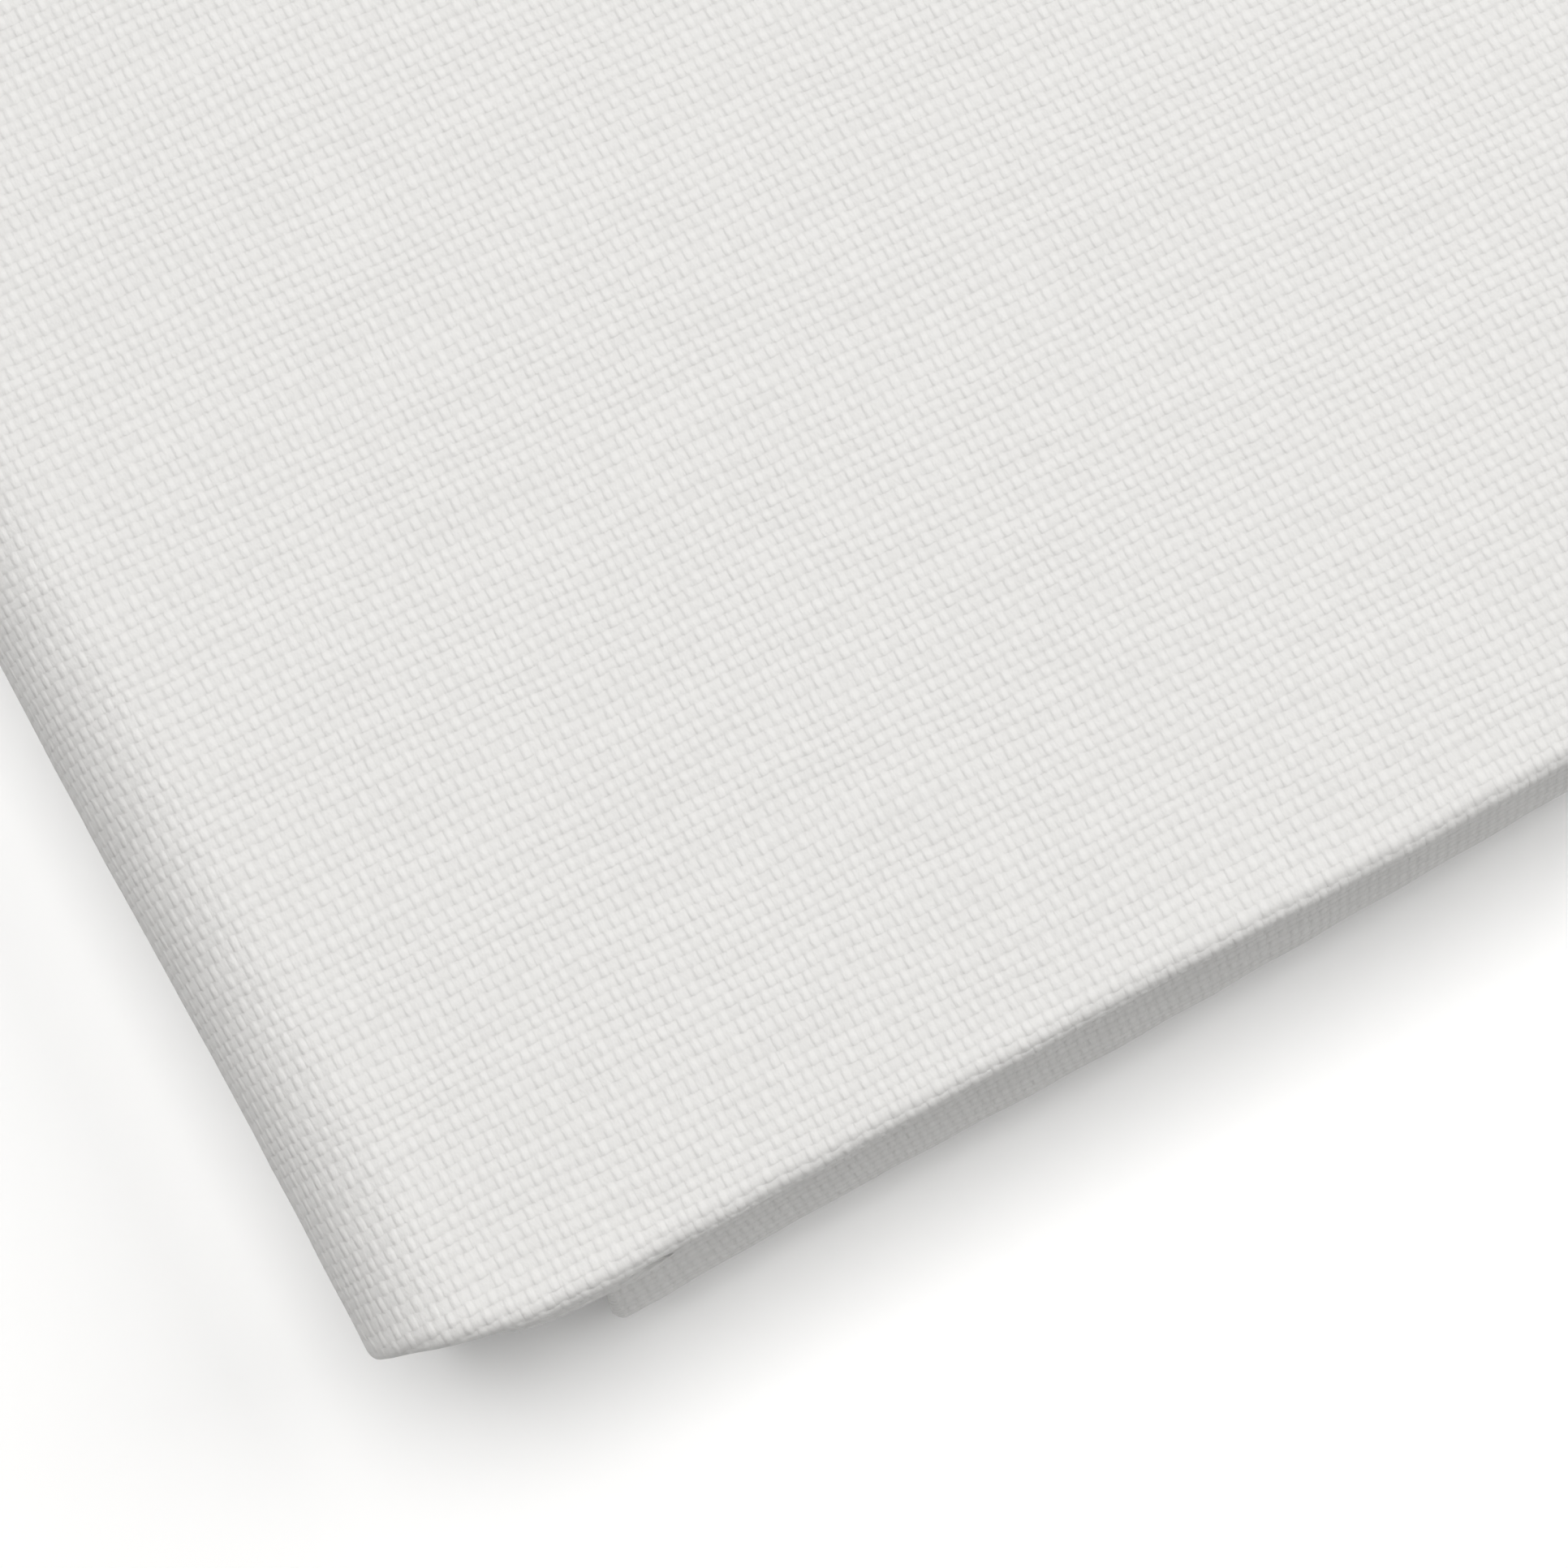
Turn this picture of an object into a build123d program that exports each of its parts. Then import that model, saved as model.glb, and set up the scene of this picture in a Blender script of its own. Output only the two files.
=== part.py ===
"""Keyed stretched canvas: cotton cloth folded over four mitred wooden bars and stapled at the back.

Millimetres, +Z up. The canvas lies on its back, painting face up. The origin is on the surface
that it lies on, under the middle of the frame. X runs along the short side, Y along the long one.
"""

import os
from math import radians, tan

from build123d import *

os.makedirs("parts", exist_ok=True)

# Frame of four stretcher bars
frame_width = 203.2
frame_height = 254.0
bar_width = 38.0
bar_depth = 19.0
lip_radius = 6.0  # round of the outer front edge, which the cloth bends over
lip_crest = 7.5  # from the outer edge to the highest line of the bar
bevel_drop = 3.0  # the front falls away from the crest, so the cloth touches only the lip
edge_chamfer = 0.8  # every other long edge
corner_relief = 2.2  # the sharp outer corner is sanded off by this much along both edges

# Corner joint: at each end one tongue and one slot, in two layers of the bar's depth
back_cheek = 4.6
tongue_thickness = 3.8
joint_clearance = 0.1
tongue_setback = 0.4

# Wedge keys
key_length = 34.0
key_tip_width = 3.0
key_taper = 9.0  # degrees between the two long edges
key_insert = 24.0
key_clearance = 0.2
key_corner_radius = 1.0

# Cloth
cloth_thickness = 0.55
cloth_gap = 0.05  # the cloth stands this far off the bars' outer faces
turnover = 29.0  # width of the cloth folded onto the back
fold_plies = 3
pleat_inset = 12.0  # from the corner to the edge of the folded pleat
pleat_run = 48.0  # length of the pleat's full thickness along the side
pleat_build = 1.95  # the folded plies push the front edge out from the tight cloth by this much
pleat_proud = 1.85  # and the pleat stands this far out of that edge
side_slack = 1.2  # what is left of both at the middle of the side

# Staples
staple_crown = 10.0
staple_leg = 6.0
staple_wire = 0.6
staple_wire_width = 1.2
staple_line = 15.0  # from the outer edge of the bar to the row of staples
staple_to_joint = 12.0  # from the neighbouring bar's inner edge to the first staple of a side
staple_pitch = 34.0

# Heights, from the surface that the crowns of the corner staples rest on
fold_back = staple_wire
bar_back = fold_back + fold_plies * cloth_thickness
cloth_back = bar_back - cloth_thickness
bar_front = bar_back + bar_depth
lower_layer = bar_back + back_cheek
upper_layer = lower_layer + tongue_thickness

first_staple = bar_width + staple_to_joint
half_width = frame_width / 2
half_height = frame_height / 2
key_slope = tan(radians(key_taper))
key_head_width = key_tip_width + key_length * key_slope
slot_mouth = key_tip_width + key_insert * key_slope + 2 * key_clearance
cut_margin = 1.0  # cutting shapes run this far past what they cut

# Each side of the frame: turn about Z, length along the bar, and centre to its outer edge
sides = {
    "bottom_rail": (0, frame_width, half_height),
    "right_stile": (90, frame_height, half_width),
    "top_rail": (180, frame_width, half_height),
    "left_stile": (270, frame_height, half_width),
}
corner_signs = [(-1, -1), (1, -1), (1, 1), (-1, 1)]


def side_plane(turn, height):
    """Plane at this height, with x along the side and y from its outer edge inwards."""
    return Plane.XY.rotated((0, 0, turn)).offset(height)


def section_plane(turn, length, outer_edge):
    """Plane across the start of a bar, with x from its outer edge inwards and z along the bar."""
    side = side_plane(turn, bar_back)
    start = side.from_local_coords(Vector(-length / 2, -outer_edge, 0))
    return Plane(origin=start, x_dir=side.y_dir, z_dir=side.x_dir)


# Staples: one row along each side, and one across each folded corner. They come first, because
# the bars and the cloth are cut to their legs.


def make_staples(places):
    """Staples at these planes, each at the underside of its crown with x along the crown."""
    with BuildPart() as staples:
        with BuildSketch(*places):
            Rectangle(staple_crown, staple_wire_width)
        extrude(amount=staple_wire)
        with BuildSketch(*[place.offset(staple_wire) for place in places]):
            with GridLocations(staple_crown - staple_wire, 0, 2, 1):
                Rectangle(staple_wire, staple_wire_width)
        extrude(amount=staple_leg)
    return staples.part


def row_places(turn, length, outer_edge):
    """Even places of the staples along one side, clear of its folded corners."""
    run = length - 2 * first_staple
    count = max(2, round(run / staple_pitch) + 1)
    side = side_plane(turn, cloth_back - staple_wire)
    row = -outer_edge + staple_line
    starts = [-run / 2 + run * index / (count - 1) for index in range(count)]
    return [
        Plane(origin=side.from_local_coords(Vector(start, row, 0)), x_dir=side.x_dir)
        for start in starts
    ]


def corner_place(corner_x, corner_y):
    """Place of the staple across one folded corner, at a right angle to the mitre."""
    x_place = corner_x * (half_width - staple_line)
    y_place = corner_y * (half_height - staple_line)
    return Plane(origin=(x_place, y_place, 0), x_dir=(corner_y, -corner_x, 0))


staples = {"corner_staples": make_staples([corner_place(*signs) for signs in corner_signs])}
for side_name, side_sizes in sides.items():
    staples[f"{side_name}_staples"] = make_staples(row_places(*side_sizes))

for label, part in staples.items():
    part.label = label
    export_step(part, f"parts/{label}.step")


# Stretcher bars


def mitre_waste(length, outer_edge, flip):
    """Corners of the triangle outside the 45-degree mitre at one end, flip being 1 or -1."""
    end = -length / 2
    inner = -outer_edge + bar_width
    return [
        (flip * (end - cut_margin), -outer_edge - cut_margin),
        (flip * (end - cut_margin), inner + cut_margin),
        (flip * (end + bar_width + cut_margin), inner + cut_margin),
    ]


def slot_waste(length, outer_edge, flip):
    """Corners of the slot at one end, whose far wall slants as the key does."""
    end = -length / 2
    inner = -outer_edge + bar_width
    mouth_wall = end + bar_width + slot_mouth
    return [
        (flip * (end - cut_margin), -outer_edge - cut_margin),
        (flip * (end - cut_margin), inner + cut_margin),
        (flip * (mouth_wall + cut_margin * key_slope), inner + cut_margin),
        (flip * (mouth_wall - (bar_width + cut_margin) * key_slope), -outer_edge - cut_margin),
    ]


def relief_waste(length, outer_edge, flip):
    """Corners of the triangle sanded off the frame's outer corner."""
    end = -length / 2
    return [
        (flip * (end - cut_margin), -outer_edge - cut_margin),
        (flip * (end + corner_relief + cut_margin), -outer_edge - cut_margin),
        (flip * (end - cut_margin), -outer_edge + corner_relief + cut_margin),
    ]


def make_bar(label, turn, length, outer_edge):
    """One bar: a milled section, mitred, with a tongue and a slot at each end."""
    inner_front = bar_depth - bevel_drop
    with BuildPart() as bar:
        with BuildSketch(section_plane(turn, length, outer_edge)):
            with BuildLine():
                outline = Polyline(
                    (0, bar_depth - lip_radius),
                    (0, edge_chamfer),
                    (edge_chamfer, 0),
                    (bar_width - edge_chamfer, 0),
                    (bar_width, edge_chamfer),
                    (bar_width, inner_front - edge_chamfer),
                    (bar_width - edge_chamfer, inner_front),
                    (lip_crest, bar_depth),
                    (lip_radius, bar_depth),
                )
                RadiusArc(outline @ 1, outline @ 0, lip_radius)
            make_face()
        extrude(amount=length)

        # The start has its tongue in the upper layer, the finish has it in the lower one
        for flip, tongue, slot in ((1, upper_layer, lower_layer), (-1, lower_layer, upper_layer)):
            above_tongue = tongue + tongue_thickness - joint_clearance
            with BuildSketch(side_plane(turn, bar_back)):
                Polygon(*mitre_waste(length, outer_edge, flip), align=None)
            extrude(amount=tongue + joint_clearance - bar_back, mode=Mode.SUBTRACT)
            with BuildSketch(side_plane(turn, above_tongue)):
                Polygon(*mitre_waste(length, outer_edge, flip), align=None)
            extrude(amount=bar_depth, mode=Mode.SUBTRACT)
            with BuildSketch(side_plane(turn, slot)):
                Polygon(*slot_waste(length, outer_edge, flip), align=None)
            extrude(amount=tongue_thickness, mode=Mode.SUBTRACT)

            # The tongue's end and the corner stay inside the frame's outer faces
            with BuildSketch(side_plane(turn, bar_back)):
                Polygon(*relief_waste(length, outer_edge, flip), align=None)
                with Locations((-flip * length / 2, 0)):
                    Rectangle(2 * tongue_setback, 2 * outer_edge + cut_margin)
            extrude(amount=bar_depth, mode=Mode.SUBTRACT)

        add(staples[f"{label}_staples"], mode=Mode.SUBTRACT)
        add(staples["corner_staples"], mode=Mode.SUBTRACT)
    bar.part.label = label
    export_step(bar.part, f"parts/{label}.step")


for side_name, side_sizes in sides.items():
    make_bar(side_name, *side_sizes)


# Wedge keys: two at each corner, one in the slot of each bar


def make_key(label, layer, flip, turn, length, outer_edge):
    """A wedge in the slot at one end of a bar, its straight edge along the other bar's tongue."""
    straight_edge = -length / 2 + bar_width + key_clearance
    tip = -outer_edge + bar_width - key_insert
    head = tip + key_length
    with BuildPart() as key:
        with BuildSketch(side_plane(turn, layer + key_clearance)):
            Polygon(
                (flip * straight_edge, tip),
                (flip * (straight_edge + key_tip_width), tip),
                (flip * (straight_edge + key_head_width), head),
                (flip * straight_edge, head),
                align=None,
            )
            fillet(vertices().group_by(Axis.Y)[-1], radius=key_corner_radius)
        extrude(amount=tongue_thickness - 2 * key_clearance)
    key.part.label = label
    export_step(key.part, f"parts/{label}.step")


# Which corner a bar's start and finish lie at, going round the frame
start_corners = {
    "bottom_rail": "bottom_left",
    "right_stile": "bottom_right",
    "top_rail": "top_right",
    "left_stile": "top_left",
}
finish_corners = {
    "bottom_rail": "bottom_right",
    "right_stile": "top_right",
    "top_rail": "top_left",
    "left_stile": "bottom_left",
}
for side_name, side_sizes in sides.items():
    bar_kind = side_name.split("_")[1]
    make_key(f"key_{start_corners[side_name]}_{bar_kind}", lower_layer, 1, *side_sizes)
    make_key(f"key_{finish_corners[side_name]}_{bar_kind}", upper_layer, -1, *side_sizes)


# Cloth: one sheet over the front and the sides, folded onto the back, with the spare cloth of
# each corner laid as a pleat on the bottom and top sides


def frame_envelope(grow, relief):
    """The frame's outer shape, grown all round, its front edge round and its corners relieved."""
    with BuildPart() as envelope:
        with BuildSketch(Plane.XY.offset(bar_back - grow)):
            Rectangle(frame_width + 2 * grow, frame_height + 2 * grow)
        extrude(amount=bar_depth + 2 * grow)
        front_edges = envelope.faces().sort_by(Axis.Z)[-1].edges()
        fillet(front_edges, radius=lip_radius + grow)
        with BuildSketch(Plane.XY.offset(bar_back - grow - cut_margin)):
            for corner_x, corner_y in corner_signs:
                x_corner = corner_x * (half_width + grow)
                y_corner = corner_y * (half_height + grow)
                Polygon(
                    (x_corner, y_corner),
                    (x_corner - corner_x * relief, y_corner),
                    (x_corner, y_corner - corner_y * relief),
                    align=None,
                )
        extrude(amount=bar_depth + 2 * (grow + cut_margin), mode=Mode.SUBTRACT)
    return envelope.part


def offset_relief(grow):
    """Relief of a grown envelope that keeps the wall even across the corner."""
    return corner_relief + grow * (2 - 2**0.5)


cloth_grow = cloth_gap + cloth_thickness
cloth_outside = frame_envelope(cloth_grow, offset_relief(cloth_grow))
cloth_inside = frame_envelope(cloth_gap, offset_relief(cloth_gap))

with BuildPart() as canvas:
    add(cloth_outside)
    add(cloth_inside, mode=Mode.SUBTRACT)

    # The back is one ply, open inside the turnover
    with BuildSketch(Plane.XY.offset(cloth_back)):
        Rectangle(frame_width + 2 * cloth_gap, frame_height + 2 * cloth_gap)
        Rectangle(frame_width - 2 * turnover, frame_height - 2 * turnover, mode=Mode.SUBTRACT)
    extrude(amount=cloth_thickness)
    with BuildSketch(Plane.XY.offset(cloth_back - cut_margin)):
        Rectangle(frame_width - 2 * turnover, frame_height - 2 * turnover)
    extrude(amount=cut_margin + cloth_thickness + cloth_gap, mode=Mode.SUBTRACT)

    # At each corner the folded cloth makes three plies at the back
    with BuildSketch(Plane.XY.offset(fold_back)):
        for corner_x, corner_y in corner_signs:
            x_corner = corner_x * (half_width - corner_relief)
            y_corner = corner_y * (half_height - corner_relief)
            Polygon(
                (x_corner, y_corner),
                (x_corner - corner_x * turnover, y_corner),
                (x_corner, y_corner - corner_y * turnover),
                align=None,
            )
    extrude(amount=cloth_back - fold_back + cloth_thickness / 2)

    # The pleats stand out of the bottom and top sides, thickest near the corners
    side_face = half_height + cloth_grow
    pleat_face = side_face + pleat_build + pleat_proud
    pleat_start = half_width - pleat_inset
    pleat_end = pleat_start - pleat_run
    with BuildSketch(Plane.XY.offset(cloth_back)) as pleats:
        for way in (-1, 1):
            Polygon(
                (-pleat_start, way * (side_face - cloth_thickness / 2)),
                (-pleat_start, way * pleat_face),
                (-pleat_end, way * pleat_face),
                (0, way * (side_face + side_slack)),
                (pleat_end, way * pleat_face),
                (pleat_start, way * pleat_face),
                (pleat_start, way * (side_face - cloth_thickness / 2)),
                align=None,
            )
    extrude(amount=bar_front - lip_radius / 2 - cloth_back)

    for part in staples.values():
        add(part, mode=Mode.SUBTRACT)

canvas.part.label = "canvas"
export_step(canvas.part, "parts/canvas.step")
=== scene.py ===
"""Looks of the keyed stretched canvas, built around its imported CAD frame.

The cloth is one folded sheet: a quarter of it is laid out as patches of points, and mirrored to the
other three quarters. Its sizes are in millimetres, and every Blender object is in metres.
"""

import math

import bmesh
import bpy
import numpy as np
from mathutils import Matrix, Vector


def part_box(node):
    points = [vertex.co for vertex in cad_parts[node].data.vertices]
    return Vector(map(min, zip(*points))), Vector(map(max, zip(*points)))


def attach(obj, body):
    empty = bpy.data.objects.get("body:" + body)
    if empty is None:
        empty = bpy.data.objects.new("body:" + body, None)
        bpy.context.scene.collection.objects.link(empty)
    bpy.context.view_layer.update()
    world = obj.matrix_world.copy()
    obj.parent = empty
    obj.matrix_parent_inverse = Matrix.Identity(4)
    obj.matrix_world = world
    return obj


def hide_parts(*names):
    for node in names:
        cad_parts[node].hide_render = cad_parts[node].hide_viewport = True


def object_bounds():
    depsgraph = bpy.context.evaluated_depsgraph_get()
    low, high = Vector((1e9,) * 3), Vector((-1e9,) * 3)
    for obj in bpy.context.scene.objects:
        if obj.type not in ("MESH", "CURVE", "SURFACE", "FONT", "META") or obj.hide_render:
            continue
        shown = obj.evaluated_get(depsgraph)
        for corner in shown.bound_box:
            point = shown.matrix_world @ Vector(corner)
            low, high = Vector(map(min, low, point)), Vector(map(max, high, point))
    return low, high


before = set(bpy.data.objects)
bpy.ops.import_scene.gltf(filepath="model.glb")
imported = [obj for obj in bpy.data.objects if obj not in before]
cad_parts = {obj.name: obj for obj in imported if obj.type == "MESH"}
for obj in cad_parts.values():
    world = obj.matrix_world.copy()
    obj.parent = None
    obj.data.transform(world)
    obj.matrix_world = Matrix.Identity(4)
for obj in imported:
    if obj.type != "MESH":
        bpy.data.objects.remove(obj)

cad_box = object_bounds()
MM = 0.001

# Sizes read from the frame, in millimetres
stile_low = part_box("left_stile")[0] / MM
rail_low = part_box("bottom_rail")[0] / MM
cloth_low, cloth_high = (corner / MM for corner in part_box("canvas"))
HALF_WIDTH = -stile_low.x
HALF_HEIGHT = -rail_low.y
WOOD_BACK = stile_low.z

# The cloth's own sizes, in millimetres
THICKNESS = 0.46
LAYER = 0.33  # from a wooden face to the middle of the ply that lies on it
PLY_STEP = 0.53  # from the middle of one folded ply to the middle of the next
FRONT = cloth_high.z - THICKNESS / 2
BACK_DEPTH = FRONT - WOOD_BACK  # depths are measured down from the middle of the front
INNER = 14.0  # the front is a plain grid inside this distance, and a ring of columns outside it
SIDE_ROUND = 6.3  # soft front edge on the left and the right
FOLD_ROUND = 0.95  # tight front fold over the pleats at the bottom and the top
TIP_FOLD = 0.55  # the same fold where it begins at the corner
FOLD_OVERHANG = 50.0  # degrees that the front fold turns in under itself
BACK_ROUND = 0.8  # back edge of the sides
TIP_ROUND = 0.85  # the corner itself, seen from the front
PLEAT = 12.0  # from the corner to the pleat's edge
PLEAT_LEAN = 1.1  # towards the corner, from the fold down
PLEAT_EDGE = 0.34  # radius of the pleat's edge, where its cloth turns in under itself
PLEAT_STAND = 1.80  # the pleat stands out of the front's fold this much, next to its edge
PLEAT_WAVE = 0.08  # height of the waves along the pleat
PLEAT_WAVE_LENGTH = 36.0
PLEAT_TUCK = 0.4  # drawn in again just above the back edge
PLEAT_SLANT = 2.6  # the pleat's edge runs this much towards the corner across the back
PLEAT_START = 2.4  # depth below the front's fold where the pleat begins to open out
PLEAT_GROWTH = 8.0  # depth over which it opens out
EDGE_START = 0.25  # the front's fold stands out of the rail this much at the tip
EDGE_RISE = 2.55  # and this much more at the pleat
EDGE_RUN = 12.5  # distance from the corner over which it rises
EDGE_CREST = 0.45  # it rises this much again along the side
EDGE_DIP = 1.1  # and falls this much towards the middle of the side
STILE_BULGE = 0.6  # slack of the cloth over the stile's edge, away from the corner
PLEAT_DEPTH = 14.0  # how far the spare cloth runs in under the pleat
SPARE_SHARES = (1.0, 0.75, 0.5, 0.25)  # places along the spare cloth, from its inner end outwards
TURNOVER = 29.0  # cloth stapled over the back, from the side to its cut edge
TAIL = 2.4  # the tight ply beside the pleat ends this far round the back edge

# The sheet's small unevenness: height and wave length
LONG_RIPPLE, LONG_RIPPLE_LENGTH = 0.05, 26.0
SHORT_RIPPLE, SHORT_RIPPLE_LENGTH = 0.035, 4.5
SAME_POINT = 0.002  # patches' points nearer to each other than this are one

# Threads: columns run across the frame, rows up it
COLUMN_PITCH = 0.59
ROW_PITCH = 0.70

# Wood colours
PINE_LIGHT = (0.72, 0.53, 0.32, 1.0)
PINE_DARK = (0.50, 0.29, 0.13, 1.0)
BEECH_LIGHT = (0.74, 0.55, 0.36, 1.0)
BEECH_DARK = (0.55, 0.36, 0.2, 1.0)
PINE_RAIL_RING, PINE_STILE_RING, BEECH_RING = 3.1, 3.6, 1.4  # width of a year's growth

# Studio
FLOOR_REACH = 0.5  # metres, each way from the middle
SOFTBOX_DISTANCE = 1.4  # metres
WARM_WHITE = (1.0, 0.995, 0.985)
LENS = 66.45
SENSOR = 36.0
CAMERA_TILT = 7.145  # degrees, back from looking straight down
CAMERA_TURN = -28.96  # degrees, about the vertical
EYE_IN = 32.7  # from the cloth's left side
EYE_BELOW = 3.35  # below the wooden frame's bottom side
EYE_HEIGHT = 143.0  # above the painting face

random = np.random.default_rng(7)


def smooth(value):
    """Smooth step from 0 to 1."""
    t = np.clip(value, 0.0, 1.0)
    return t * t * (3.0 - 2.0 * t)


# ---------------------------------------------------------------------------------------------
# Shape of the cloth in one quarter. p is the distance in from the stile's outer face, q the
# distance in from the rail's outer face, and depth goes down from the middle of the front.


def front_edge(p):
    """How far the front's fold stands out of the rail: it is drawn in at the corner."""
    drawn_in = EDGE_START + EDGE_RISE * np.sin(np.clip(p / EDGE_RUN, 0.0, 1.0) * math.pi / 2)
    crest = EDGE_CREST * smooth((p - 38.0) / 24.0)
    return drawn_in + crest - EDGE_DIP * smooth((p - 60.0) / 42.0)


def pleat_face(p):
    """How far the pleat stands out of the rail, a little wavy along the side."""
    narrower = 0.6 * smooth((p - 38.0) / 30.0) + 0.6 * smooth((p - 66.0) / 34.0)
    wave = PLEAT_WAVE * np.sin((p - 30.0) / PLEAT_WAVE_LENGTH * 2 * math.pi)
    return front_edge(p) + PLEAT_STAND - narrower + wave


def stile_drop(p):
    """Depth of the front where it bends over the stile's round edge."""
    inside = np.clip(SIDE_ROUND - LAYER - p, 0.0, SIDE_ROUND)
    return SIDE_ROUND - np.sqrt(SIDE_ROUND**2 - inside**2)


def stile_arc(p):
    """Distance along the cloth that belongs to p, where it bends over the stile's round edge."""
    inside = np.clip(SIDE_ROUND - LAYER - p, 0.0, SIDE_ROUND)
    return p + inside - SIDE_ROUND * np.arcsin(inside / SIDE_ROUND)


def pleat_level(p):
    """Level of the pleated turnover on the back, which lies over the plies under it."""
    over_spare_cloth = 1.0 - smooth((p - 26.0) / 3.5)
    over_stile_cloth = 1.0 - smooth((p - TURNOVER - 0.5) / 3.5)
    return LAYER + PLY_STEP * (over_spare_cloth + over_stile_cloth)


def spaced(start, end, step):
    """Evenly spaced places from start to end, about a step apart."""
    return np.linspace(start, end, max(2, round(abs(end - start) / step) + 1))


def joined(*runs):
    """Runs of places put end to end, each without its first place after the first run."""
    return np.concatenate([runs[0]] + [run[1:] for run in runs[1:]])


# Columns run round the quarter: down the stile's side, round the tip, and along the rail
tip_slope = math.atan(EDGE_RISE / EDGE_RUN * math.pi / 2)
TIP_TURN = math.pi / 2 - tip_slope
tip_p = TIP_ROUND - LAYER - TIP_ROUND * math.sin(tip_slope)
tip_q = TIP_ROUND * math.cos(tip_slope) - float(front_edge(tip_p))

stile_q = joined(spaced(HALF_HEIGHT, INNER, 3.0), spaced(INNER, tip_q, 1.1))
tip_angle = np.linspace(0.0, TIP_TURN, 10)[1:-1]
base_p = joined(spaced(tip_p, PLEAT - 1.0, 0.8), spaced(PLEAT - 1.0, PLEAT, 0.25))
flap_p = joined(
    spaced(PLEAT, INNER, 0.5), spaced(INNER, 66.0, 1.5), spaced(66.0, HALF_WIDTH, 2.6)
)
STILE_COLUMNS = len(stile_q)
TIP_COLUMNS = len(tip_angle)
BASE_COLUMNS = STILE_COLUMNS + TIP_COLUMNS + len(base_p)

rail_p = joined(base_p, flap_p)
slope_at = EDGE_RISE / EDGE_RUN * math.pi / 2 * np.cos(
    np.clip(rail_p / EDGE_RUN, 0.0, 1.0) * math.pi / 2
)
rail_out = np.stack([-slope_at, -np.ones_like(rail_p)], axis=1)
rail_out /= np.linalg.norm(rail_out, axis=1, keepdims=True)
tip_out = np.stack([-np.cos(tip_angle), -np.sin(tip_angle)], axis=1)
stile_out = np.tile([-1.0, 0.0], (STILE_COLUMNS, 1))
outward = np.concatenate([stile_out, tip_out, rail_out])

tip_centre = np.array([TIP_ROUND - LAYER, tip_q])
edge = np.concatenate([
    np.stack([np.full(STILE_COLUMNS, -LAYER), stile_q], axis=1),
    tip_centre + TIP_ROUND * tip_out,
    np.stack([rail_p, -front_edge(rail_p)], axis=1),
])
pole = np.array([INNER, INNER])
inner_start = np.concatenate([
    np.stack([np.full(STILE_COLUMNS, INNER), np.maximum(stile_q, INNER)], axis=1),
    np.tile(pole, (TIP_COLUMNS, 1)),
    np.stack([np.maximum(rail_p, INNER), np.full(len(rail_p), INNER)], axis=1),
])
fold_round = np.concatenate([
    np.zeros(STILE_COLUMNS),
    TIP_FOLD * smooth(tip_angle / TIP_TURN),
    TIP_FOLD + (FOLD_ROUND - TIP_FOLD) * smooth((rail_p - tip_p) / 3.0),
])
overhang = np.concatenate([
    np.zeros(STILE_COLUMNS + TIP_COLUMNS),
    math.radians(FOLD_OVERHANG) * smooth(rail_p / 6.0),
])

# Front ring: from the inner grid out to the round edge or the fold
bend = np.sin(np.linspace(0.0, math.pi / 2, 15)) * SIDE_ROUND - SIDE_ROUND + LAYER
lead = joined(np.linspace(-INNER, bend[0], 5), bend)
lead = (lead + INNER) / (LAYER + INNER)
fold_centre = edge - fold_round[:, None] * outward
ring_points = []
ring_flat = []
for share in lead:
    place = inner_start + (fold_centre - inner_start) * share
    ring_points.append(np.column_stack([place, stile_drop(place[:, 0])]))
    ring_flat.append(np.column_stack([stile_arc(place[:, 0]), place[:, 1]]))
for share in np.linspace(0.0, 1.0, 13)[1:]:
    turn = share * (math.pi / 2 + overhang)
    place = fold_centre + (fold_round * np.sin(turn))[:, None] * outward
    upper = fold_centre + (fold_round * np.sin(np.minimum(turn, math.pi / 2)))[:, None] * outward
    depth = stile_drop(upper[:, 0]) + fold_round * (1 - np.cos(turn))
    ring_points.append(np.column_stack([place, depth]))
    run = fold_centre + (fold_round * turn)[:, None] * outward
    ring_flat.append(np.column_stack([stile_arc(upper[:, 0]), run[:, 1]]))
ring_points = np.stack(ring_points)
ring_flat = np.stack(ring_flat)
crease = ring_points[-1]

# Tight ply: the sides below the ring, as far as the pleat
wall_turn = tip_angle / TIP_TURN * math.pi / 2
wall_centre = np.array([TIP_ROUND - LAYER, TIP_ROUND - LAYER])
wall_out = np.concatenate([
    stile_out,
    np.stack([-np.cos(wall_turn), -np.sin(wall_turn)], axis=1),
    np.tile([0.0, -1.0], (len(base_p), 1)),
])
wall = np.concatenate([
    np.stack([
        np.full(STILE_COLUMNS, -LAYER),
        stile_q + (wall_centre[1] - tip_q) * (1 - smooth((stile_q - tip_q) / 5.0)),
    ], axis=1),
    wall_centre + TIP_ROUND * wall_out[STILE_COLUMNS:STILE_COLUMNS + TIP_COLUMNS],
    np.stack([
        base_p + (wall_centre[0] - tip_p) * (1 - smooth((base_p - tip_p) / 5.0)),
        np.full(len(base_p), -LAYER),
    ], axis=1),
])
wall_level = LAYER + PLY_STEP * np.concatenate([
    np.zeros(STILE_COLUMNS),
    smooth(tip_angle / TIP_TURN),
    np.ones(len(base_p)),
])
side_share = np.linspace(0.0, 1.0, 23) ** 1.3
back_turn = np.linspace(0.0, math.pi / 2, 7)[1:]


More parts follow.
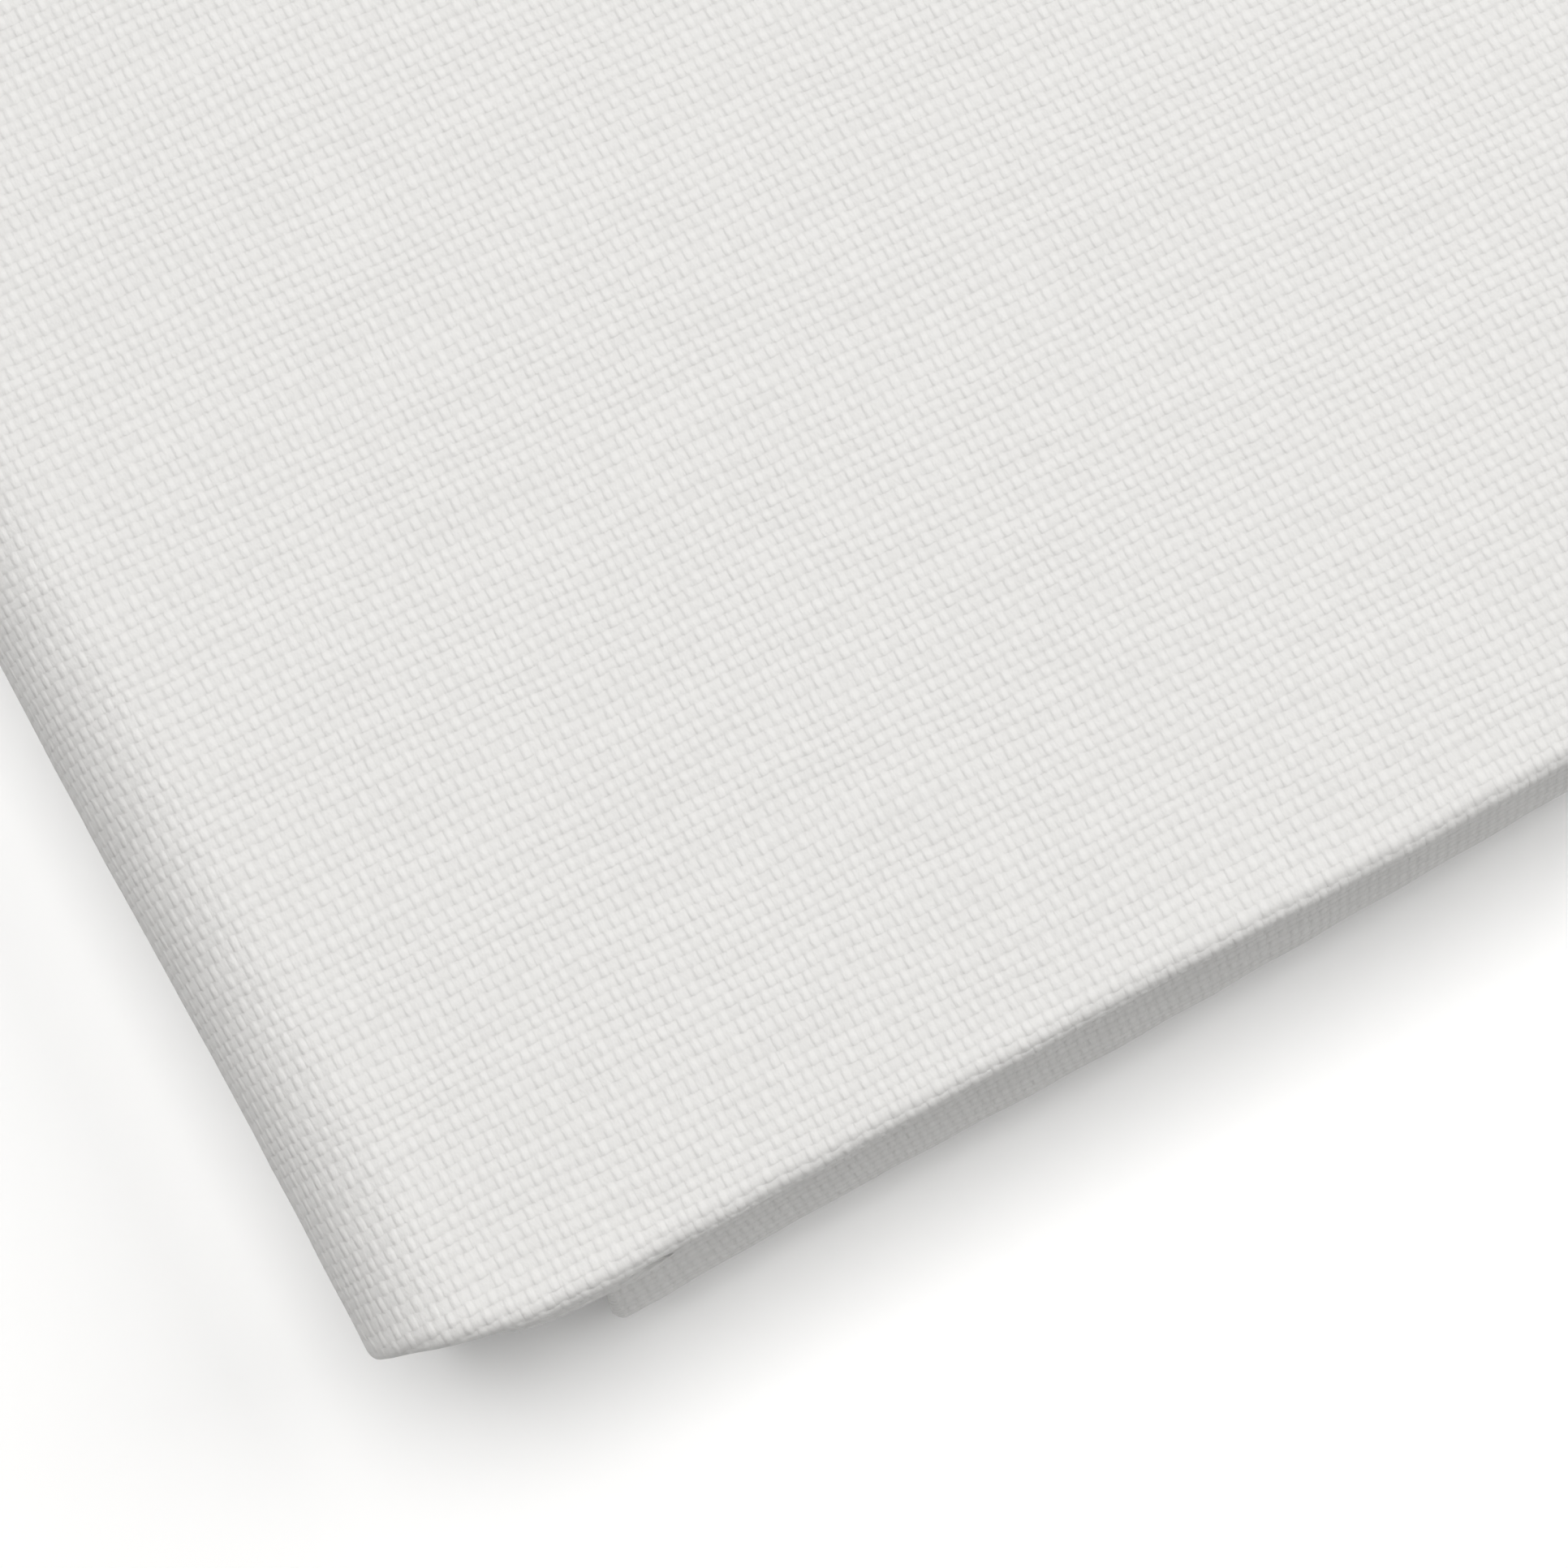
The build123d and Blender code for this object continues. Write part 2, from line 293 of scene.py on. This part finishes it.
def wall_path(start, target, out, level, bulge):
    """Points down the sides and round their back edges. A bulge stands out just under the fold."""
    rows = []
    bottom = BACK_DEPTH + level - BACK_ROUND
    swollen = target + out * bulge[:, None]
    for share in side_share:
        depth = start[..., 2] + (bottom - start[..., 2]) * share
        below = depth - start[..., 2]
        pulled = smooth(below / 3.0)[..., None]
        tightened = smooth((below - 4.0) / 10.0)[..., None]
        place = start[..., :2] + (swollen - start[..., :2]) * pulled
        place = place + (target - swollen) * tightened
        rows.append(np.concatenate([place, depth[..., None]], axis=-1))
    for turn in back_turn:
        place = target - BACK_ROUND * (1 - math.cos(turn)) * out
        depth = bottom + BACK_ROUND * math.sin(turn)
        rows.append(np.concatenate([place, depth[..., None]], axis=-1))
    return np.stack(rows)


def run_down(rows):
    """Length of the cloth along each column, from its first row."""
    steps = np.linalg.norm(np.diff(rows, axis=0), axis=-1)
    return np.concatenate([np.zeros((1,) + steps.shape[1:]), np.cumsum(steps, axis=0)])


base_bulge = (front_edge(base_p) - LAYER + 0.3) * smooth((base_p - 2.0) / 5.0)
wall_bulge = np.concatenate([np.zeros(STILE_COLUMNS + TIP_COLUMNS), base_bulge])
wall_points = wall_path(crease[:BASE_COLUMNS], wall, wall_out, wall_level, wall_bulge)
around = np.concatenate([[0.0], np.cumsum(np.linalg.norm(np.diff(wall, axis=0), axis=1))])
wall_run = wall_points[..., 2] - SIDE_ROUND
wall_flat = np.stack([
    stile_arc(-LAYER) - wall_run,
    np.broadcast_to(HALF_HEIGHT - around, wall_run.shape),
], axis=-1)


def turnover_rows(start, out, reach, level, rows=9):
    """Points across the back, from the back edge to the cloth's cut edge."""
    result = []
    for share in np.linspace(0.0, 1.0, rows):
        place = start[:, :2] - out * (reach * share)[:, None]
        result.append(np.column_stack([place, BACK_DEPTH + level]))
    return np.stack(result)


stile_reach = np.full(STILE_COLUMNS, TURNOVER + LAYER - BACK_ROUND)
stile_turnover = turnover_rows(
    wall_points[-1, :STILE_COLUMNS], stile_out, stile_reach, wall_level[:STILE_COLUMNS]
)
base_start = wall_points[-1, STILE_COLUMNS + TIP_COLUMNS:]
base_reach = TAIL * smooth(base_p / 5.0)
base_tail = turnover_rows(
    base_start, wall_out[-len(base_p):], base_reach, wall_level[-len(base_p):], rows=4
)


def flat_below(points, run_flat):
    """Flat coordinates of a turnover of the stile's cloth, continued from its wall."""
    run = run_down(points)
    return np.stack([run_flat[-1, :, 0] - run, np.broadcast_to(run_flat[-1, :, 1], run.shape)], -1)


# Pleat: the outer ply, with its rounded edge and the spare cloth folded under it
flap_start = crease[BASE_COLUMNS - 1:]
flap_face = pleat_face(flap_p)
flap_level = pleat_level(flap_p)
flap_bottom = BACK_DEPTH + flap_level - BACK_ROUND
near_edge = 1.0 - smooth((flap_p - PLEAT) / 6.0)


def pleat_rows():
    """Rows of the outer ply, with the direction it faces and its edge's radius at each row."""
    rows = []
    facing = []
    radius = []
    for share in side_share:
        depth = flap_start[:, 2] + (flap_bottom - flap_start[:, 2]) * share
        opened = smooth((depth - flap_start[:, 2] - PLEAT_START) / PLEAT_GROWTH)
        offset = -flap_start[:, 1] + (flap_face + flap_start[:, 1]) * opened
        offset = offset - PLEAT_TUCK * smooth((share - 0.85) / 0.15)
        edge_radius = PLEAT_EDGE * opened[0] * (1.0 - 0.47 * smooth((share - 0.6) / 0.4))
        p = flap_p + (edge_radius - PLEAT_LEAN * opened[0]) * near_edge
        rows.append(np.column_stack([p, -offset, depth]))
        facing.append((-1.0, 0.0))
        radius.append(edge_radius)
    last = rows[-1]
    edge_radius = radius[-1]
    for turn in back_turn:
        q = last[:, 1] + BACK_ROUND * (1 - math.cos(turn))
        depth = flap_bottom + BACK_ROUND * math.sin(turn)
        rows.append(np.column_stack([last[:, 0], q, depth]))
        facing.append((-math.cos(turn), math.sin(turn)))
        radius.append(edge_radius)
    last = rows[-1]
    for share in np.linspace(0.0, 1.0, 10)[1:]:
        q = last[:, 1] + (TURNOVER - last[:, 1]) * share
        p = last[:, 0] - PLEAT_SLANT * share * near_edge
        rows.append(np.column_stack([p, q, last[:, 2]]))
        facing.append((0.0, 1.0))
        radius.append(edge_radius)
    return np.stack(rows), np.array(facing), np.array(radius)


flap_points, flap_facing, edge_radius = pleat_rows()
flap_run = run_down(flap_points)
flap_flat = np.stack([
    np.broadcast_to(flap_p, flap_run.shape),
    ring_flat[-1, BASE_COLUMNS - 1:, 1] - flap_run,
], axis=-1)

SIDE_COUNT = len(side_share)
rounding = np.linspace(-math.pi / 2, math.pi / 2, 8)
edge_columns = []
for angle in rounding:
    first = flap_points[:, 0]
    under = edge_radius * (1 - math.sin(angle))
    edge_columns.append(np.column_stack([
        first[:, 0] - edge_radius * math.cos(angle),
        first[:, 1] - under * flap_facing[:, 0],
        first[:, 2] - under * flap_facing[:, 1],
    ]))
edge_columns = np.stack(edge_columns, axis=1)

down = np.concatenate([side_share, np.ones(len(flap_points) - SIDE_COUNT)])
spare_columns = []
for share in SPARE_SHARES:
    p = edge_columns[:, 0, 0] + PLEAT_DEPTH * down * share
    spare = np.column_stack([p, edge_columns[:, 0, 1], edge_columns[:, 0, 2]])
    spare_columns.append(spare)
spare_columns = np.stack(spare_columns, axis=1)
base_last = wall_points[:SIDE_COUNT, -1]
for index, share in enumerate(SPARE_SHARES):
    towards_base = share**2
    on_side = spare_columns[:SIDE_COUNT, index, 1]
    spare_columns[:SIDE_COUNT, index, 1] = on_side + (base_last[:, 1] - on_side) * towards_base
under_columns = []
for share in (0.0, 0.33, 0.67):
    under_columns.append(base_last + (spare_columns[:SIDE_COUNT, 0] - base_last) * share)
under_columns = np.stack(under_columns, axis=1)


def flat_across(points, start):
    """Flat coordinates of the spare cloth: rows run down, columns run on round the corner."""
    steps = np.linalg.norm(np.diff(points, axis=1), axis=-1)
    run = np.concatenate([np.zeros((len(points), 1)), np.cumsum(steps, axis=1)], axis=1)
    down_run = np.broadcast_to(run_down(points[:, :1]), run.shape)
    return np.stack([-down_run, start - run], axis=-1)


pleat_side = np.concatenate(
    [under_columns, spare_columns[:SIDE_COUNT], edge_columns[:SIDE_COUNT]], axis=1
)
pleat_back = np.concatenate(
    [spare_columns[SIDE_COUNT - 1:], edge_columns[SIDE_COUNT - 1:]], axis=1
)

# Front grid
grid_p = flap_p[flap_p >= INNER - 1e-6]
grid_q = stile_q[stile_q >= INNER - 1e-6]
grid_points = np.stack(np.broadcast_arrays(grid_p[None, :], grid_q[:, None], 0.0), axis=-1)

patches = [
    (grid_points, grid_points[..., :2]),
    (ring_points, ring_flat),
    (wall_points, wall_flat),
    (stile_turnover, flat_below(stile_turnover, wall_flat[:, :STILE_COLUMNS])),
    (base_tail, flat_below(base_tail, wall_flat[:, -len(base_p):])),
    (flap_points, flap_flat),
    (pleat_side, flat_across(pleat_side, -PLEAT)),
    (pleat_back, flat_across(pleat_back, -PLEAT)),
]


# ---------------------------------------------------------------------------------------------
# The whole sheet


def bulged(patch):
    """The patch with the stile's edge standing out a little, away from the corner."""
    amount = STILE_BULGE * smooth(patch[..., 1] / 50.0) * (1.0 - smooth(patch[..., 0] / INNER))
    moved = patch.copy()
    moved[..., 0] -= amount
    return moved


def ripple_field(length, count=7):
    """A smooth random vector field with waves of about this length."""
    waves = random.normal(size=(3, count))
    waves *= 2 * math.pi / length * random.uniform(0.6, 1.4, count) / np.linalg.norm(waves, axis=0)
    phases = random.uniform(0, 2 * math.pi, count)
    shifts = random.normal(size=(count, 3)) / math.sqrt(count)
    return lambda places: np.sin(places @ waves + phases) @ shifts


long_ripple = ripple_field(LONG_RIPPLE_LENGTH)
short_ripple = ripple_field(SHORT_RIPPLE_LENGTH)


def weave_slant(x, y):
    """How far the cross threads have slipped down the frame: the cloth is a little out of true."""
    slope = 0.033 + 0.044 * smooth((y + HALF_HEIGHT) / 60.0)
    return slope * (x + HALF_WIDTH)


def build_cloth():
    """One mesh of all the patches, in all four quarters."""
    mesh = bpy.data.meshes.new("canvas_cloth")
    points = []
    threads = []
    faces = []
    count = 0
    for side in (-1, 1):
        for end in (-1, 1):
            for straight_patch, flat in patches:
                patch = bulged(straight_patch)
                rows, columns = patch.shape[:2]
                placed = np.stack([
                    side * (HALF_WIDTH - patch[..., 0]),
                    end * (HALF_HEIGHT - patch[..., 1]),
                    FRONT - patch[..., 2],
                ], axis=-1).reshape(-1, 3)
                x = (side * (HALF_WIDTH - flat[..., 0])).ravel()
                y = (end * (HALF_HEIGHT - flat[..., 1])).ravel()
                uneven = LONG_RIPPLE * long_ripple(placed) + SHORT_RIPPLE * short_ripple(placed)
                points.append(placed + uneven)
                threads.append(np.column_stack([
                    x / COLUMN_PITCH, (y + weave_slant(x, y)) / ROW_PITCH
                ]))
                index = np.arange(rows * columns).reshape(rows, columns) + count
                quads = np.stack([
                    index[:-1, :-1], index[1:, :-1], index[1:, 1:], index[:-1, 1:]
                ], axis=-1).reshape(-1, 4)
                if side * end < 0:
                    quads = quads[:, ::-1]
                faces.append(quads)
                count += rows * columns
    points = np.concatenate(points)
    threads = np.concatenate(threads)
    faces = np.concatenate(faces)
    mesh.from_pydata((points * MM).tolist(), [], faces.tolist())
    layer = mesh.uv_layers.new(name="threads")
    layer.data.foreach_set("uv", threads[faces.ravel()].ravel())
    work = bmesh.new()
    work.from_mesh(mesh)
    bmesh.ops.remove_doubles(work, verts=work.verts, dist=SAME_POINT * MM)
    work.to_mesh(mesh)
    work.free()
    piece = bpy.data.objects.new("canvas_cloth", mesh)
    bpy.context.collection.objects.link(piece)
    for polygon in mesh.polygons:
        polygon.use_smooth = True
    thick = piece.modifiers.new("thickness", "SOLIDIFY")
    thick.thickness = THICKNESS * MM
    thick.offset = 0.0
    thick.material_offset = 1
    thick.material_offset_rim = 1
    return piece


# ---------------------------------------------------------------------------------------------
# Materials


class Shader:
    """Short way to build a material's nodes."""

    def __init__(self, name):
        self.material = bpy.data.materials.new(name)
        self.material.use_nodes = True
        self.tree = self.material.node_tree
        self.tree.nodes.clear()
        self.surface = self.add("ShaderNodeBsdfPrincipled")
        output = self.tree.nodes.new("ShaderNodeOutputMaterial")
        self.tree.links.new(self.surface.outputs[0], output.inputs["Surface"])

    def add(self, kind, inputs=None, **settings):
        """A node with these settings, and these input values or links."""
        node = self.tree.nodes.new(kind)
        for name, value in settings.items():
            setattr(node, name, value)
        for socket, value in (inputs or {}).items():
            self.put(node.inputs[socket], value)
        return node

    def put(self, socket, value):
        """Link a node's output into a socket, or set the socket's own value."""
        if isinstance(value, bpy.types.NodeSocket):
            self.tree.links.new(value, socket)
        else:
            socket.default_value = value

    def math(self, operation, *values):
        """One step of arithmetic."""
        node = self.add("ShaderNodeMath", dict(enumerate(values)), operation=operation)
        return node.outputs[0]

    def noise(self, vector, scale, detail=2.0, dimensions="3D"):
        """Noise between 0 and 1."""
        inputs = {"Vector": vector, "Scale": scale, "Detail": detail}
        node = self.add("ShaderNodeTexNoise", inputs, noise_dimensions=dimensions)
        return node.outputs["Fac"]

    def blend(self, amount, first, second):
        """Blend of two colours."""
        node = self.add("ShaderNodeMix", {0: amount}, data_type="RGBA")
        self.put(node.inputs[6], first)
        self.put(node.inputs[7], second)
        return node.outputs[2]

    def stretched(self, vector, scale):
        """The same coordinates at another scale."""
        node = self.add("ShaderNodeMapping", {"Vector": vector, "Scale": scale})
        return node.outputs[0]


def thread_profile(shader, across, thinness):
    """Rounded cross-section of a thread, from the place across it. Thinner threads leave gaps."""
    centred = shader.math("SUBTRACT", across, 0.5)
    doubled = shader.math("MULTIPLY", centred, 2 * thinness)
    square = shader.math("MULTIPLY", doubled, doubled)
    return shader.math("MAXIMUM", shader.math("MULTIPLY_ADD", square, -0.8, 1.0), 0.0)


def make_cloth_material(name, light, shade, relief, fuzz):
    """Plain weave of round threads. Its coordinates count the threads. Its colour has painted shade
    in the gaps between threads and painted highlight on the raised threads, mixed with random tone
    from uneven crossings, slubs and fibres.
    """
    shader = Shader(name)
    counts = shader.add("ShaderNodeUVMap", uv_map="threads").outputs[0]
    drift = shader.noise(shader.stretched(counts, (0.03, 0.12, 1.0)), 1.0, 2.0, "2D")
    split = shader.add("ShaderNodeSeparateXYZ", {0: counts})
    row = shader.math("MULTIPLY_ADD", drift, 1.3, split.outputs[1])
    drift_across = shader.noise(shader.stretched(counts, (0.15, 0.03, 1.0)), 1.0, 2.0, "2D")
    column = shader.math("MULTIPLY_ADD", drift_across, 0.8, split.outputs[0])
    column_sign = shader.math(
        "COSINE", shader.math("MULTIPLY", shader.math("FLOOR", column), math.pi)
    )
    row_sign = shader.math("COSINE", shader.math("MULTIPLY", shader.math("FLOOR", row), math.pi))
    row_wave = shader.math("SINE", shader.math("MULTIPLY", row, math.pi))
    column_wave = shader.math("SINE", shader.math("MULTIPLY", column, math.pi))
    warp_rise = shader.math("MULTIPLY", row_wave, column_sign)
    weft_fall = shader.math("MULTIPLY", column_wave, row_sign)
    warp_round = thread_profile(shader, shader.math("FRACT", column), 1.3)
    weft_round = thread_profile(shader, shader.math("FRACT", row), 0.97)
    warp = shader.math("MULTIPLY_ADD", warp_rise, 0.85, warp_round)
    weft = shader.math("MULTIPLY_ADD", weft_fall, -0.2, weft_round)
    woven = shader.math("SMOOTH_MAX", warp, weft, 0.5)
    crossing = shader.add("ShaderNodeCombineXYZ", {
        0: shader.math("FLOOR", column), 1: shader.math("FLOOR", row)
    }).outputs[0]
    uneven = shader.add("ShaderNodeTexWhiteNoise", {"Vector": crossing}, noise_dimensions="2D")
    slubs = shader.noise(shader.stretched(counts, (0.05, 0.9, 1.0)), 1.0, 3.0, "2D")
    fibres = shader.noise(shader.stretched(counts, (2.6, 1.6, 1.0)), 1.0, 4.0, "2D")
    height = shader.math("MULTIPLY_ADD", slubs, 0.5, woven)
    height = shader.math("MULTIPLY_ADD", uneven.outputs["Value"], 0.35, height)
    height = shader.math("MULTIPLY_ADD", fibres, fuzz, height)
    bump = shader.add(
        "ShaderNodeBump", {"Strength": 1.0, "Distance": relief * MM, "Height": height}
    )
    # Painted shade and highlight: colour follows the weave's height, darker in the gaps and lighter
    # on the raised threads
    painted_thread_shading = shader.add("ShaderNodeMapRange", {"Value": woven, "From Min": 0.4, "From Max": 1.95})
    # Random tone from uneven crossings, slubs and fibres is added on top of the painted shading
    painted_shading_and_tone = shader.math("MULTIPLY_ADD", uneven.outputs["Value"], 0.3, painted_thread_shading.outputs[0])
    painted_shading_and_tone = shader.math("MULTIPLY_ADD", slubs, 0.9, painted_shading_and_tone)
    painted_shading_and_tone = shader.math("MULTIPLY_ADD", fibres, 0.6, painted_shading_and_tone)
    painted_shading_and_tone_mix = shader.math("SUBTRACT", painted_shading_and_tone, 0.75)
    colour = shader.blend(painted_shading_and_tone_mix, shade, light)
    shader.put(shader.surface.inputs["Base Color"], colour)
    shader.put(shader.surface.inputs["Normal"], bump.outputs[0])
    shader.put(shader.surface.inputs["Roughness"], 0.8)
    shader.put(shader.surface.inputs["Specular IOR Level"], 0.25)
    shader.put(shader.surface.inputs["Sheen Weight"], 0.05)
    return shader.material


def make_wood_material(name, turn, light, dark, ring_pitch, heart):
    """Sawn wood whose growth rings run along the piece, about a heart beside it, in metres."""
    shader = Shader(name)
    place = shader.add("ShaderNodeTexCoord").outputs["Object"]
    along = shader.add("ShaderNodeMapping", {"Vector": place, "Rotation": (0.0, 0.0, turn)})
    grain = along.outputs[0]
    wander = shader.noise(shader.stretched(grain, (9.0, 40.0, 40.0)), 1.0, 3.0)
    split = shader.add("ShaderNodeSeparateXYZ", {0: grain})
    away = shader.math("ADD", split.outputs[1], heart[0])
    above = shader.math("ADD", split.outputs[2], heart[1])
    away_square = shader.math("MULTIPLY", away, away)
    above_square = shader.math("MULTIPLY", above, above)
    square = shader.math("ADD", away_square, above_square)
    radius = shader.math("MULTIPLY_ADD", wander, 0.006, shader.math("SQRT", square))
    rings = shader.math("SINE", shader.math("MULTIPLY", radius, 2 * math.pi / (ring_pitch * MM)))
    late = shader.add("ShaderNodeMapRange", {"Value": rings, "From Min": 0.1, "From Max": 1.0})
    fine = shader.noise(shader.stretched(grain, (60.0, 1600.0, 1600.0)), 1.0, 3.0)
    broad = shader.noise(shader.stretched(grain, (10.0, 60.0, 60.0)), 1.0, 2.0)
    depth = shader.math("MULTIPLY_ADD", fine, 0.35, shader.math("MULTIPLY", late.outputs[0], 0.55))
    depth = shader.math("MULTIPLY_ADD", broad, 0.4, depth)
    depth = shader.math("SUBTRACT", depth, 0.25)
    shader.put(shader.surface.inputs["Base Color"], shader.blend(depth, light, dark))
    bump = shader.add(
        "ShaderNodeBump", {"Strength": 0.6, "Distance": 0.06 * MM, "Height": fine}
    )
    shader.put(shader.surface.inputs["Normal"], bump.outputs[0])
    shader.put(shader.surface.inputs["Roughness"], 0.62)
    shader.put(shader.surface.inputs["Specular IOR Level"], 0.3)
    return shader.material


def make_staple_material():
    """Bright galvanised wire."""
    shader = Shader("staple_wire")
    place = shader.add("ShaderNodeTexCoord").outputs["Object"]
    scuffs = shader.noise(place, 2500.0, 3.0)
    rough = shader.add("ShaderNodeMapRange", {"Value": scuffs, "To Min": 0.25, "To Max": 0.45})
    shader.put(shader.surface.inputs["Base Color"], (0.62, 0.63, 0.65, 1.0))
    shader.put(shader.surface.inputs["Metallic"], 1.0)
    shader.put(shader.surface.inputs["Roughness"], rough.outputs[0])
    return shader.material


# Each cloth's two colours are the ends of a blend of painted thread shade and highlight with random
# tone
primed = make_cloth_material(
    "primed_cotton", (0.765, 0.76, 0.75, 1.0), (0.705, 0.70, 0.69, 1.0), 0.055, 0.6
)
raw = make_cloth_material(
    "raw_cotton", (0.76, 0.70, 0.60, 1.0), (0.50, 0.44, 0.35, 1.0), 0.12, 0.35
)
rail_wood = make_wood_material(
    "rail_pine", 0.0, PINE_LIGHT, PINE_DARK, PINE_RAIL_RING, (0.05, 0.02)
)
stile_wood = make_wood_material(
    "stile_pine", math.pi / 2, PINE_LIGHT, PINE_DARK, PINE_STILE_RING, (0.04, 0.03)
)
key_rail_wood = make_wood_material(
    "rail_key_beech", math.pi / 2, BEECH_LIGHT, BEECH_DARK, BEECH_RING, (0.03, 0.02)
)
key_stile_wood = make_wood_material(
    "stile_key_beech", 0.0, BEECH_LIGHT, BEECH_DARK, BEECH_RING, (0.03, 0.02)
)
staple_wire = make_staple_material()


def dress(node, material):
    """Give a CAD piece its material."""
    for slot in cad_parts[node].material_slots:
        slot.material = material


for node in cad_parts:
    if node.endswith("_staples"):
        dress(node, staple_wire)
    elif node.startswith("key_") and node.endswith("_rail"):
        dress(node, key_rail_wood)
    elif node.startswith("key_"):
        dress(node, key_stile_wood)
    elif node.endswith("_rail"):
        dress(node, rail_wood)
    elif node.endswith("_stile"):
        dress(node, stile_wood)

cloth = build_cloth()
cloth.data.materials.append(primed)
cloth.data.materials.append(raw)
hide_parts("canvas")
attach(cloth, "stretched_frame")


# ---------------------------------------------------------------------------------------------
# Floor, light and camera


def make_floor():
    """Plain white table top under the part."""
    mesh = bpy.data.meshes.new("floor")
    level = cad_box[0].z
    corners = []
    for x, y in ((-1, -1), (1, -1), (1, 1), (-1, 1)):
        corners.append((x * FLOOR_REACH, y * FLOOR_REACH, level))
    mesh.from_pydata(corners, [], [(0, 1, 2, 3)])
    piece = bpy.data.objects.new("floor", mesh)
    bpy.context.collection.objects.link(piece)
    shader = Shader("white_table")
    shader.put(shader.surface.inputs["Base Color"], (0.99, 0.99, 0.99, 1.0))
    shader.put(shader.surface.inputs["Roughness"], 0.9)
    shader.put(shader.surface.inputs["Specular IOR Level"], 0.0)
    mesh.materials.append(shader.material)


def add_softbox(name, direction, size, power, colour):
    """Square soft light shining on the part from this direction."""
    light = bpy.data.lights.new(name, "AREA")
    light.shape = "SQUARE"
    light.size = size
    light.energy = power
    light.color = colour
    lamp = bpy.data.objects.new(name, light)
    bpy.context.collection.objects.link(lamp)
    away = Vector(direction).normalized()
    lamp.location = away * SOFTBOX_DISTANCE
    lamp.rotation_euler = away.to_track_quat("Z", "Y").to_euler()


make_floor()
add_softbox("key", (0.0, 0.364, 1.0), 1.0, 5.8, WARM_WHITE)
add_softbox("overhead", (0.0, 0.0, 1.0), 1.0, 14.4, WARM_WHITE)
add_softbox("right_fill", (1.0, 0.0, 1.0), 0.8, 7.2, WARM_WHITE)
add_softbox("left_fill", (-1.0, 0.0, 0.27), 0.8, 0.3, (1.0, 1.0, 1.0))

# White backdrop, which is seen but doesn't light the part
world = bpy.data.worlds.new("studio")
bpy.context.scene.world = world
world.use_nodes = True
world.node_tree.nodes["Background"].inputs["Color"].default_value = (1.0, 1.0, 1.0, 1.0)
world.node_tree.nodes["Background"].inputs["Strength"].default_value = 1.0
world.cycles_visibility.diffuse = False
world.cycles_visibility.glossy = False
bpy.context.scene.view_settings.view_transform = "Standard"

lens = bpy.data.cameras.new("camera")
lens.lens = LENS
lens.sensor_width = SENSOR
lens.clip_start = 0.01
camera = bpy.data.objects.new("camera", lens)
bpy.context.collection.objects.link(camera)
tilt = Matrix.Rotation(math.radians(CAMERA_TILT), 4, "X")
roll = Matrix.Rotation(math.radians(CAMERA_TURN), 4, "Z")
eye = Vector((cloth_low.x + EYE_IN, -HALF_HEIGHT - EYE_BELOW, cloth_high.z + EYE_HEIGHT)) * MM
camera.matrix_world = Matrix.Translation(eye) @ tilt @ roll
bpy.context.scene.camera = camera
